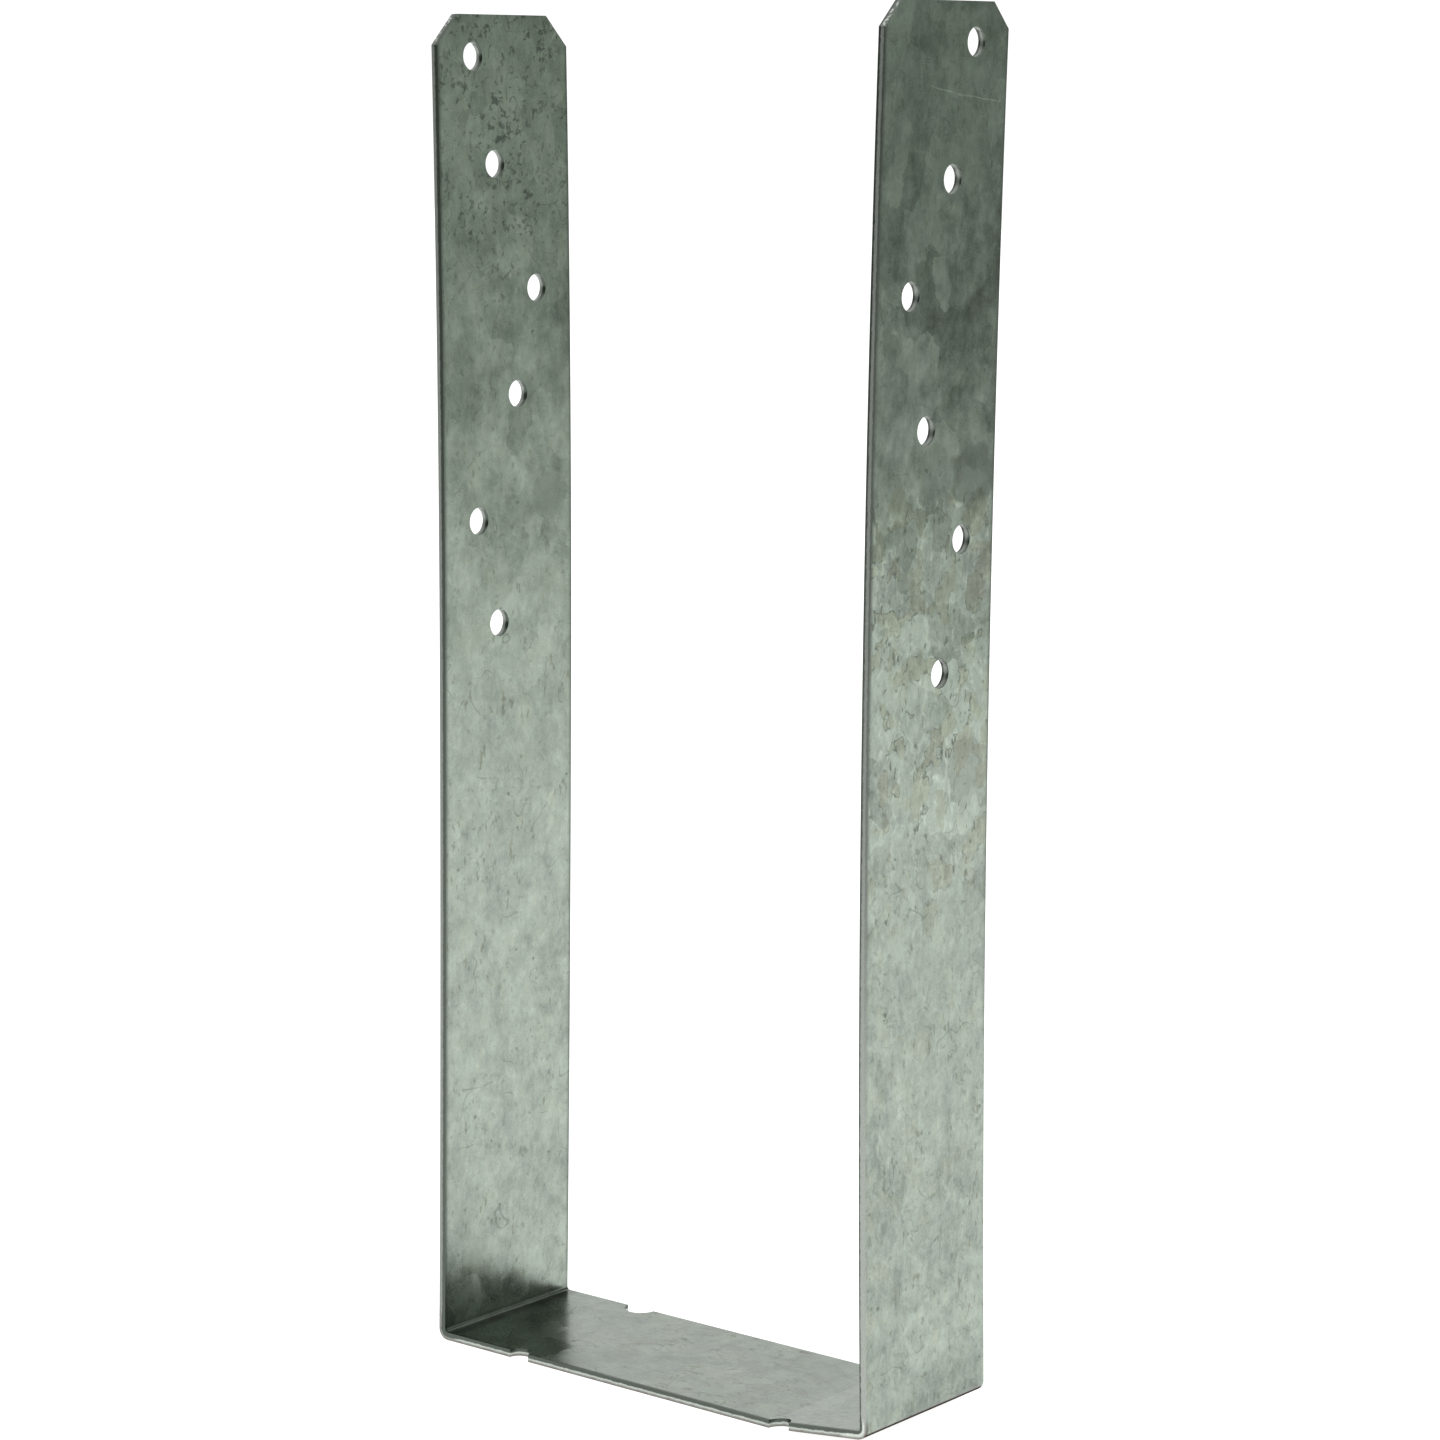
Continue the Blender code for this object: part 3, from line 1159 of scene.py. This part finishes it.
def screen_cloth(height):
    """Glow of the dark screen: pale at its foot, and dark further up and to the front."""
    material, shader = new_shader("screen_cloth")
    place = shader.add("ShaderNodeTexCoord")["Object"]
    z = shader.part(place, "Z", "XYZ") * (1 / height)
    # Round the screen from the left, by the front and the right, to the far side
    turn = shader.sum("ARCTAN2", shader.part(place, "Y", "XYZ"), shader.part(place, "X", "XYZ"))
    turn = turn * (0.5 / math.pi) + 0.5
    # Levels up the screen, where it darkens softly and where it does so at once
    soft = [(0, 1), (0.02, 0.9), (0.07, 0.6), (0.14, 0.5), (0.26, 0.62), (0.31, 0.12), (0.4, 0.04)]
    hard = [(0, 0.8), (0.008, 0.5), (0.015, 0.13), (0.1, 0.08)]
    hard += [(0.16, 0.165), (0.25, 0.21), (0.4, 0.06)]
    softly = shader.ramp(turn, [(0.25, 0.0), (0.30, 1.0), (0.636, 1.0), (0.652, 0.0)])
    side = shader.ramp(turn, [(0.22, 0.75), (0.30, 0.35), (0.5, 0.35), (0.58, 1.0)])
    glow = (shader.ramp(z, hard) * (1 - softly) + shader.ramp(z, soft) * softly) * side
    pale = shader.ramp(turn, [(0.08, 1.0), (0.13, 0.0), (0.74, 0.0), (0.78, 1.0)])
    greenish, white = (1.12, 1.25, 1.13), (0.93, 0.93, 0.93)
    dark = shader.vector("SCALE", greenish, scale=glow * (1 - pale))
    colour = shader.vector("MULTIPLY_ADD", white, shader.same(pale), dark)
    cloth = shader.gloss(
        {
            "Base Color": (0.0, 0.0, 0.0, 1.0),
            "Roughness": 1.0,
            "Specular IOR Level": 0.0,
            "Emission Color": colour,
            "Emission Strength": 1.0,
        }
    )
    shader.finish(cloth)
    return material


def lay_floor(setup):
    """A plain pale floor under the tie."""
    bpy.ops.mesh.primitive_plane_add(size=setup.floor_size)
    floor = bpy.context.object
    floor.name = "floor"
    floor.data.materials.append(floor_paper(setup.floor_colour, setup.floor_glow))


def hang_light(setup):
    """A wide soft light overhead, which the steel doesn't mirror."""
    bpy.ops.object.light_add(type="AREA", location=(0, 0, setup.overhead_height))
    light = bpy.context.object
    light.name = "overhead_light"
    light.data.shape = "DISK"
    light.data.size = setup.overhead_size
    light.data.energy = setup.overhead_power
    light.visible_glossy = False


def stand_screen(setup):
    """A round screen that the steel mirrors: dark to the front and right, pale to the far left."""
    bpy.ops.mesh.primitive_cylinder_add(
        vertices=96,
        radius=setup.screen_radius,
        depth=setup.screen_height,
        end_fill_type="NOTHING",
        location=(0, 0, setup.screen_height / 2),
    )
    screen = bpy.context.object
    screen.name = "dark_screen"
    bpy.ops.object.transform_apply(location=True, rotation=True, scale=True)
    screen.data.materials.append(screen_cloth(setup.screen_height))
    screen.visible_camera = False
    screen.visible_diffuse = False
    screen.visible_shadow = False


def light_tent(strength):
    """Soft white light from all round."""
    world = bpy.data.worlds.new("light_tent")
    world.use_nodes = True
    background = world.node_tree.nodes["Background"]
    background.inputs["Color"].default_value = (1.0, 1.0, 1.0, 1.0)
    background.inputs["Strength"].default_value = strength
    bpy.context.scene.world = world


def place_camera(setup):
    """A camera at the photograph's angle."""
    data = bpy.data.cameras.new("camera")
    data.sensor_width = SENSOR_WIDTH
    data.lens = setup.camera_focus / IMAGE_SIDE * SENSOR_WIDTH
    data.clip_start = 0.01
    camera = bpy.data.objects.new("camera", data)
    bpy.context.scene.collection.objects.link(camera)
    camera.matrix_world = (
        Matrix.Translation(setup.camera_place)
        @ Matrix.Rotation(setup.camera_heading, 4, "Z")
        @ Matrix.Rotation(math.pi / 2 - setup.camera_tilt, 4, "X")
        @ Matrix.Rotation(setup.camera_roll, 4, "Z")
    )
    bpy.context.scene.camera = camera


# Operators and their panel


class MESH_OT_fold_stud_tie(bpy.types.Operator):
    """Model the folded strap with its holes, notches and clipped tips, in galvanised steel"""

    bl_idname = "mesh.fold_stud_tie"
    bl_label = "Fold Strap"

    def execute(self, context):
        size = context.scene.strap_size
        look = context.scene.steel_look
        plan = StrapPlan(size)
        deselect_all()
        strap = fold_strap(plan)
        middle = MiddleSurface(strap, size.leg_height / 2)
        thicken(strap, size.thickness)
        punch(strap, punch_tools(plan))
        round_edges(strap, middle, size)
        strap.data.materials.append(galvanised_sheet(look, size.width / 2))
        strap.data.materials.append(sheared_steel(look, plan))
        mark_cut_faces(strap, middle, size)
        smooth(strap)
        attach(strap, BODY)
        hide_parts(NODE)
        return {"FINISHED"}


class SCENE_OT_set_tie_studio(bpy.types.Operator):
    """Set the pale floor, the soft light, the dark screen and the camera"""

    bl_idname = "scene.set_tie_studio"
    bl_label = "Set Studio"

    def execute(self, context):
        setup = context.scene.studio_setup
        deselect_all()
        lay_floor(setup)
        hang_light(setup)
        stand_screen(setup)
        light_tent(setup.tent_strength)
        place_camera(setup)
        context.scene.view_settings.view_transform = "Standard"
        return {"FINISHED"}


class VIEW3D_PT_stud_tie(bpy.types.Panel):
    """Buttons and sizes for the stud plate tie"""

    bl_label = "Stud Plate Tie"
    bl_idname = "VIEW3D_PT_stud_tie"
    bl_space_type = "VIEW_3D"
    bl_region_type = "UI"
    bl_category = "Stud Tie"

    def draw(self, context):
        groups = (
            (context.scene.strap_size, MESH_OT_fold_stud_tie),
            (context.scene.steel_look, None),
            (context.scene.studio_setup, SCENE_OT_set_tie_studio),
        )
        for group, operator in groups:
            box = self.layout.box()
            for name in group.bl_rna.properties.keys():
                if name not in ("rna_type", "name"):
                    box.prop(group, name)
            if operator:
                box.operator(operator.bl_idname)


CLASSES = (
    StrapSize,
    SteelLook,
    StudioSetup,
    MESH_OT_fold_stud_tie,
    SCENE_OT_set_tie_studio,
    VIEW3D_PT_stud_tie,
)


def register():
    """Registers the classes and hangs the settings on the scene."""
    for cls in CLASSES:
        bpy.utils.register_class(cls)
    bpy.types.Scene.strap_size = PointerProperty(type=StrapSize)
    bpy.types.Scene.steel_look = PointerProperty(type=SteelLook)
    bpy.types.Scene.studio_setup = PointerProperty(type=StudioSetup)


def unregister():
    """Takes the settings off the scene and unregisters the classes."""
    del bpy.types.Scene.studio_setup
    del bpy.types.Scene.steel_look
    del bpy.types.Scene.strap_size
    for cls in reversed(CLASSES):
        bpy.utils.unregister_class(cls)


def main():
    """Builds everything in order."""
    register()
    bpy.ops.mesh.fold_stud_tie()
    bpy.ops.scene.set_tie_studio()


if __name__ == "__main__":
    main()
